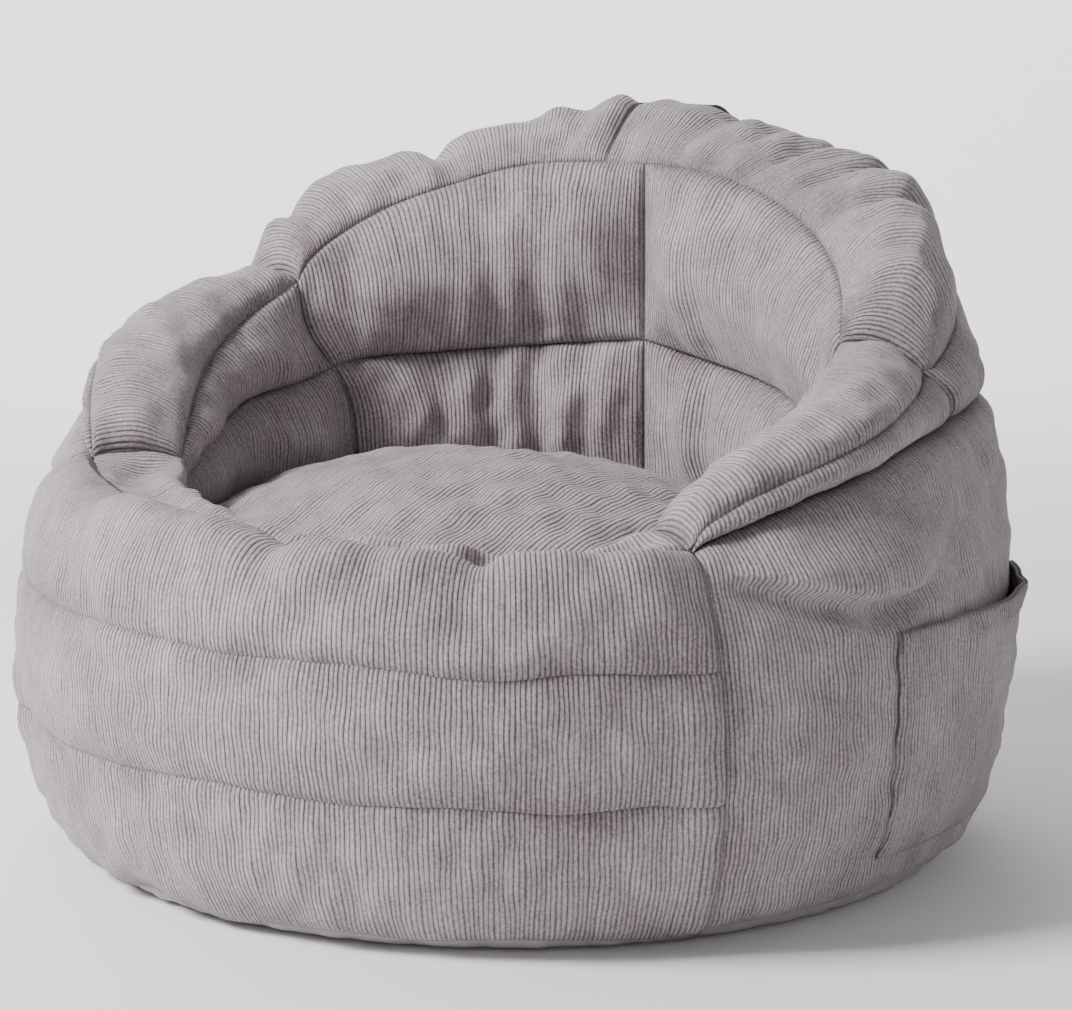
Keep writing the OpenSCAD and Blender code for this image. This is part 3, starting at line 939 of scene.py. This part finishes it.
def make_filling():
    """The beads: a bed under the seat, and a ring up the arms and the back."""
    deep, floor_gap, ring_end, ring_gap = 0.022, 0.006, 4, 0.003
    bed_h = seat_rim_h - 0.014
    bed_r = front_seam_r - deep
    bed = lathe("bead_bed", [(0, floor_gap), (base_r - 0.04, floor_gap), (base_r - deep, 0.030),
                             (bed_r, 0.08), (bed_r, 0.18), (front_seam_r - deep * 1.6, bed_h), (0, bed_h)])
    angles = np.linspace(side_seam + ring_end, 360 - ring_end - side_seam, 90)
    rings = []
    for a in angles:
        t = np.linspace(0.1, 0.9, 9)
        r, h = cap(a, t)
        top = np.minimum(h - deep, crest_h(a) - deep)
        r = np.clip(r, well_edge(a) + deep * 1.6, outer_seam_r(a) - deep)
        ring = [(well_edge(a) + deep, bed_h + ring_gap)] + list(zip(r, np.maximum(top, bed_h + 0.01)))
        ring += [(belt_r(a) - deep, min(float(belt_line_h(a)) - deep, float(top[-1]) - 0.002)),
                 (body_r_at(a, bed_h) - deep, bed_h + ring_gap)]
        rings.append([tuple(settled(placed(a, r, h))) for r, h in ring])
    ring = closed_sweep("bead_ring", rings)
    beads = beads_material()
    for piece, nodes in ((bed, ("seat_filling", "front_filling")),
                         (ring, ("arm_filling_right", "arm_filling_left", "back_filling"))):
        outward(piece)
        piece.data.materials.append(beads)
        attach(piece, "chair")
        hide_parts(*nodes)


def outward(piece):
    """Merges doubles and turns all faces outwards."""
    mesh = bmesh.new()
    mesh.from_mesh(piece.data)
    bmesh.ops.remove_doubles(mesh, verts=mesh.verts, dist=1e-6)
    bmesh.ops.recalc_face_normals(mesh, faces=mesh.faces)
    mesh.to_mesh(piece.data)
    mesh.free()


def make_base():
    """The smooth base cloth: a gathered band under the hem, and a flat bottom."""
    steps, wall, floor_t = 288, 0.004, 0.003
    verts, faces = [], []
    angle = np.linspace(0, 2 * math.pi, steps, endpoint=False)
    gather = 0.0012 * np.sin(angle * 46 + 2 * np.sin(angle * 5))
    gather += 0.0010 * np.sin(angle * 83 + 3 * np.sin(angle * 3))
    low_r = base_r - 0.030
    profile = [(base_r - 0.005, hem_h + 0.004), (base_r - 0.004, hem_h - 0.007), (base_r - 0.005, 0.010),
               (base_r - 0.010, 0.0045), (base_r - 0.017, 0.0015), (low_r, 0.0)]
    for r, h in profile:
        ring = r + gather * (h > 0)
        verts += list(zip(ring * np.sin(angle), -ring * np.cos(angle), np.full(steps, h)))
    inner = [(r - wall, h + floor_t) for r, h in profile[::-1]]
    for r, h in inner:
        verts += list(zip(r * np.sin(angle), -r * np.cos(angle), np.full(steps, h)))
    rings = len(profile) + len(inner)
    for k in range(rings):
        if k == len(profile) - 1:
            continue
        nxt = (k + 1) % rings
        for s in range(steps):
            beside = (s + 1) % steps
            faces.append((k * steps + s, nxt * steps + s, nxt * steps + beside, k * steps + beside))
    first = (len(profile) - 1) * steps
    faces.append(tuple(range(first + steps - 1, first - 1, -1)))
    faces.append(tuple(range(first + steps, first + 2 * steps)))
    piece = mesh_object("base_cloth", verts, faces)
    outward(piece)
    choose(piece)
    bpy.ops.object.shade_smooth()
    piece.data.materials.append(lining_cloth())
    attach(piece, "chair")
    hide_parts("base_panel")


# ---- pocket


def outwards_at(a):
    return Vector((math.sin(math.radians(a)), -math.cos(math.radians(a)), 0))


def wall_radius(tree, a, h, far=0.6):
    """Radius of the cover's outside at an angle in degrees and a height."""
    way = outwards_at(a)
    hit = tree.ray_cast(way * far + Vector((0, 0, h)), -way)[0]
    return math.hypot(hit.x, hit.y) if hit else float(body_r_at(a, h))


pocket_start, pocket_end = 76, 118
pocket_gape = 0.010
pocket_hem = 0.016
pocket_clear = 0.0012


def make_pocket(side_piece, cloth):
    """The patch pocket laid over the right side, open and gaping a little at its mouth."""
    tree = BVHTree.FromObject(side_piece, bpy.context.evaluated_depsgraph_get())
    columns, rows = 60, 36
    across = np.linspace(0, 1, columns)
    up = np.linspace(0, 1, rows)
    mouth = pocket_high_h + 0.004 * (across - 0.6) - 0.002 * np.sin(math.pi * across)
    near = np.zeros((rows, columns))
    angles = mix(pocket_start, pocket_end, across)
    heights = pocket_low_h + (mouth - pocket_low_h) * up[:, None]
    for i in range(rows):
        for j in range(columns):
            near[i, j] = wall_radius(tree, angles[j], heights[i, j])
    wave = np.sin(math.pi * across ** 1.7) ** 1.3
    stand = 0.0016 + pocket_gape * wave[None, :] * up[:, None] ** 1.8
    smooth = near.copy()
    for _ in range(6):
        beside = smooth[1:-1, :-2], smooth[1:-1, 2:]
        smooth[1:-1, 1:-1] = (smooth[:-2, 1:-1] + smooth[2:, 1:-1] + beside[0] + beside[1]) / 4
    r = np.maximum(smooth, near) + stand
    dimples = 0.0012 * ripple(placed(angles[None, :], r, heights), 0.06, 71)
    r += dimples * np.sin(math.pi * across) * up[:, None]
    r = np.maximum(r, near + pocket_clear)
    grid = placed(angles[None, :] + 0 * r, r, heights)[::-1]
    patch = sheet_from_grid("patch_pocket", grid, 0.0022, 0.0015)
    band_rows = [i for i in range(rows) if heights[i, 0] > mouth[0] - pocket_hem]
    band = placed(angles[None, :] + 0 * r[band_rows], r[band_rows] + 0.0024, heights[band_rows])[::-1]
    hem = sheet_from_grid("pocket_mouth_hem", band, 0.0014, 0.0004)
    for piece, old in ((patch, "side_pocket"), (hem, "pocket_hem")):
        piece.data.materials.append(cloth)
        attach(piece, "chair")
        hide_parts(old)


# ---- zip

zip_low, zip_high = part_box("zip_coil")
zip_h = (zip_low[2] + zip_high[2]) / 2
zip_half_angle = 38
zip_clear = 0.002
tape_t = 0.0015
tape_half = 0.011


def zip_r_at(h):
    return max(float(body_r_at(a, h)) for a in (180, 180 - zip_half_angle)) + zip_clear


zip_r = zip_r_at(zip_h)
zip_lean = math.atan2(zip_r_at(zip_h + tape_half) - zip_r_at(zip_h - tape_half), 2 * tape_half)


def zip_point(a, out, up):
    """Place on the zip: angle in degrees, distance out from the tape's back, and height up the tape."""
    r = zip_r + out * math.cos(zip_lean) + up * math.sin(zip_lean)
    h = zip_h - out * math.sin(zip_lean) + up * math.cos(zip_lean)
    return (r * math.sin(math.radians(a)), -r * math.cos(math.radians(a)), h)


def zip_frame(a, out, up=0.0):
    """The zip's own axes at an angle: x along the tape, y up it and z outwards."""
    centre = Vector(zip_point(a, out, up))
    along = Vector((math.cos(math.radians(a)), math.sin(math.radians(a)), 0))
    upward = Vector(zip_point(a, out, up + 1)) - centre
    outwards = Vector(zip_point(a, out + 1, up)) - centre
    return Matrix.Translation(centre) @ Matrix((along, upward, outwards)).transposed().to_4x4()


def pick(piece, test):
    """In edit mode, selects the faces that pass a test."""
    bpy.ops.mesh.select_all(action="DESELECT")
    work = bmesh.from_edit_mesh(piece.data)
    for face in work.faces:
        face.select_set(bool(test(face)))
    bmesh.update_edit_mesh(piece.data)


def block(name, size):
    bpy.ops.object.select_all(action="DESELECT")
    bpy.ops.mesh.primitive_cube_add(size=1)
    piece = bpy.context.active_object
    piece.name = name
    piece.scale = size
    bpy.ops.object.transform_apply(scale=True)
    return piece


def rounded(piece, width, segments):
    choose(piece)
    edge = piece.modifiers.new("Round", "BEVEL")
    edge.width, edge.segments = width, segments
    edge.limit_method = "ANGLE"
    bpy.ops.object.modifier_apply(modifier=edge.name)
    bpy.ops.object.shade_smooth_by_angle(angle=math.radians(40))


def put(piece, matrix):
    """Moves a finished piece to its place and leaves its object at the origin."""
    choose(piece)
    piece.matrix_world = matrix
    bpy.ops.object.transform_apply(location=True, rotation=True, scale=True)


tooth_out = tape_t + 0.0009


def make_teeth():
    tooth_size, pitch = (0.0011, 0.0040, 0.0017), 0.0016
    end_gap, stagger = 1, 0.0008
    tooth = block("tooth", tooth_size)
    rounded(tooth, 0.0003, 1)
    shape = [v.co.copy() for v in tooth.data.vertices]
    sides = [tuple(f.vertices) for f in tooth.data.polygons]
    bpy.data.objects.remove(tooth)
    verts, faces = [], []
    step = math.degrees(pitch / zip_r)
    for k in range(int((2 * zip_half_angle - 2 * end_gap) / step)):
        up = stagger if k % 2 else -stagger
        place = zip_frame(180 - zip_half_angle + end_gap + k * step, tooth_out, up)
        faces += [tuple(len(verts) + i for i in f) for f in sides]
        verts += [place @ co for co in shape]
    return mesh_object("zip_teeth", verts, faces)


def make_zip():
    # One side of the tape's outline as (out, up): hem, thin middle and the raised band under the teeth
    half = [(0, tape_half), (0.0009, tape_half), (0.0011, 0.0098), (0.0007, 0.0090), (0.0009, 0.0045),
            (tape_t, 0.0032)]
    outline = [(out, -up) for out, up in half] + half[::-1]
    angles = np.linspace(180 - zip_half_angle, 180 + zip_half_angle, 110)
    rings = [[zip_point(a, out, up) for out, up in outline] for a in angles]
    tape = closed_sweep("woven_zip_tape", rings)
    weave = woven("zip_tape_weave", (0.10, 0.088, 0.092), (0.22, 0.195, 0.20), 1300, 0.75, 0.0002)
    tape.data.materials.append(weave)
    nylon = moulded("zip_nylon")
    teeth = make_teeth()
    teeth.data.materials.append(nylon)
    for piece, old, slot in ((tape, "zip_tape", "zip_tape"), (teeth, "zip_coil", "zip_plastic")):
        outward(piece)
        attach(piece, "chair")
        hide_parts(old)
    make_slider(nylon)


def make_slider(nylon):
    """A slider without a pull, so that small children can't open the filling."""
    long, wide, roof = 0.0136, 0.0110, 0.0018
    slot, flange, end_share = 0.0034, 0.0020, 0.72
    clear, end_gap = 0.0004, 2
    eye_r, eye_wire = 0.0024, 0.0006
    middle = 180 + zip_half_angle - end_gap - math.degrees(long / 2 / zip_r)
    body = block("zip_runner", (long, wide, roof))
    bpy.ops.object.mode_set(mode="EDIT")
    cuts = [((0, y, 0), (0, 1, 0)) for y in (slot, -slot)]
    cuts += [((x, 0, 0), (1, 0, 0)) for x in (long / 4, -long / 4)]
    for place, way in cuts:
        bpy.ops.mesh.select_all(action="SELECT")
        bpy.ops.mesh.bisect(plane_co=place, plane_no=way)
    pick(body, lambda f: f.normal.z < -0.9 and abs(f.calc_center_median().y) > slot)
    bpy.ops.mesh.extrude_region_move(TRANSFORM_OT_translate={"value": (0, 0, -flange)})
    pick(body, lambda f: abs(f.normal.x) > 0.9)
    bpy.ops.transform.resize(value=(1, end_share, 1))
    bpy.ops.object.mode_set(mode="OBJECT")
    rounded(body, 0.0004, 2)
    roof_out = tape_t + clear + flange + roof / 2
    put(body, zip_frame(middle, roof_out))
    bpy.ops.object.select_all(action="DESELECT")
    bpy.ops.mesh.primitive_torus_add(major_radius=eye_r, minor_radius=eye_wire, major_segments=24,
                                     minor_segments=8, rotation=(math.pi / 2, 0, 0))
    eye = bpy.context.active_object
    eye.name = "zip_runner_eye"
    bpy.ops.object.transform_apply(rotation=True)
    bpy.ops.object.shade_smooth()
    put(eye, zip_frame(middle, roof_out + roof))
    for piece in (body, eye):
        outward(piece)
        piece.data.materials.append(nylon)
        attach(piece, "slider")
    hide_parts("zip_slider")


def flat_under_zip(grid):
    """Lays the cover flat against the zip's tape."""
    x, y, z = grid[..., 0], grid[..., 1], grid[..., 2]
    r = np.hypot(x, y)
    a = np.degrees(np.arctan2(x, -y)) % 360
    want = zip_r + (z - zip_h) * math.tan(zip_lean) - 0.0008
    reach, past_end = 0.034, 7
    share = ease((reach - np.abs(z - zip_h)) / 0.022)
    share = share * ease((zip_half_angle + past_end - np.abs(a - 180)) / past_end)
    scale = mix(1, want / np.maximum(r, 0.1), share)
    return np.stack([x * scale, y * scale, z], axis=-1)


# ---- camera and studio


def make_camera():
    data = bpy.data.cameras.new("camera")
    data.lens = 114.2
    camera = linked("camera", data)
    bpy.context.scene.camera = camera
    target = Vector((0.0143, 0.0086, 0.262))
    az, el, far = math.radians(31), math.radians(10), 2.7
    way = Vector((math.sin(az) * math.cos(el), -math.cos(az) * math.cos(el), math.sin(el)))
    camera.location = target + way * far
    camera.rotation_euler = (-way).to_track_quat("-Z", "Y").to_euler()


def make_stage():
    """A pale floor that curves up into a wall all round, and soft lights."""
    flat, wall_r, wall_h, steps, floor_h = 3.6, 6.0, 5.0, 96, -0.0005
    bend = wall_r - flat
    profile = [(r, 0) for r in (0.9, 1.8, 2.7, flat)]
    profile += [(flat + bend * math.sin(q), bend - bend * math.cos(q))
                for q in np.radians(np.arange(6, 91, 6))]
    profile.append((wall_r, wall_h))
    turns = np.linspace(0, 2 * math.pi, steps, endpoint=False)
    verts = [(0, 0, floor_h)]
    verts += [(r * math.cos(q), r * math.sin(q), h + floor_h) for r, h in profile for q in turns]
    faces = [(0, 1 + k, 1 + (k + 1) % steps) for k in range(steps)]
    for row in range(len(profile) - 1):
        low, high = 1 + row * steps, 1 + (row + 1) * steps
        faces += [(low + k, high + k, high + (k + 1) % steps, low + (k + 1) % steps) for k in range(steps)]
    floor = mesh_object("studio_floor", verts, faces)
    choose(floor)
    bpy.ops.object.shade_smooth()
    mat, _, shader = new_material("studio_paper", 0.9)
    shader.inputs["Base Color"].default_value = (0.90, 0.90, 0.90, 1)
    floor.data.materials.append(mat)
    world = bpy.data.worlds.new("studio")
    world.use_nodes = True
    sky = world.node_tree.nodes["Background"].inputs
    sky["Color"].default_value = (0.96, 0.97, 1.0, 1)
    sky["Strength"].default_value = 0.10
    bpy.context.scene.world = world
    for name, place, size, power in (
        ("key_light", (-1.9, -2.2, 2.4), 1.1, 245),
        ("top_light", (-0.7, 0.5, 3.2), 1.6, 18),
        ("rim_light", (-1.6, 2.3, 2.0), 1.8, 26),
    ):
        lamp_at(name, place, Vector((0, 0, 0.25)) - Vector(place), size, power)
    for name, turn, power in (("rear_wall_light", 211, 235), ("left_wall_light", 275, 50)):
        way = outwards_at(turn)
        lamp_at(name, way * 2.9 + Vector((0, 0, 3.4)), way - Vector((0, 0, 0.55)), 2.5, power)


def lamp_at(name, place, way, size, power):
    data = bpy.data.lights.new(name, "AREA")
    data.energy = power
    data.size = size
    lamp = linked(name, data)
    lamp.location = place
    lamp.rotation_euler = way.to_track_quat("-Z", "Y").to_euler()


make_camera()
make_stage()
cover, cover_cloth = make_cover()
make_filling()
make_base()
make_pocket(cover["right_side"], cover_cloth)
make_zip()
make_handle()
make_label()
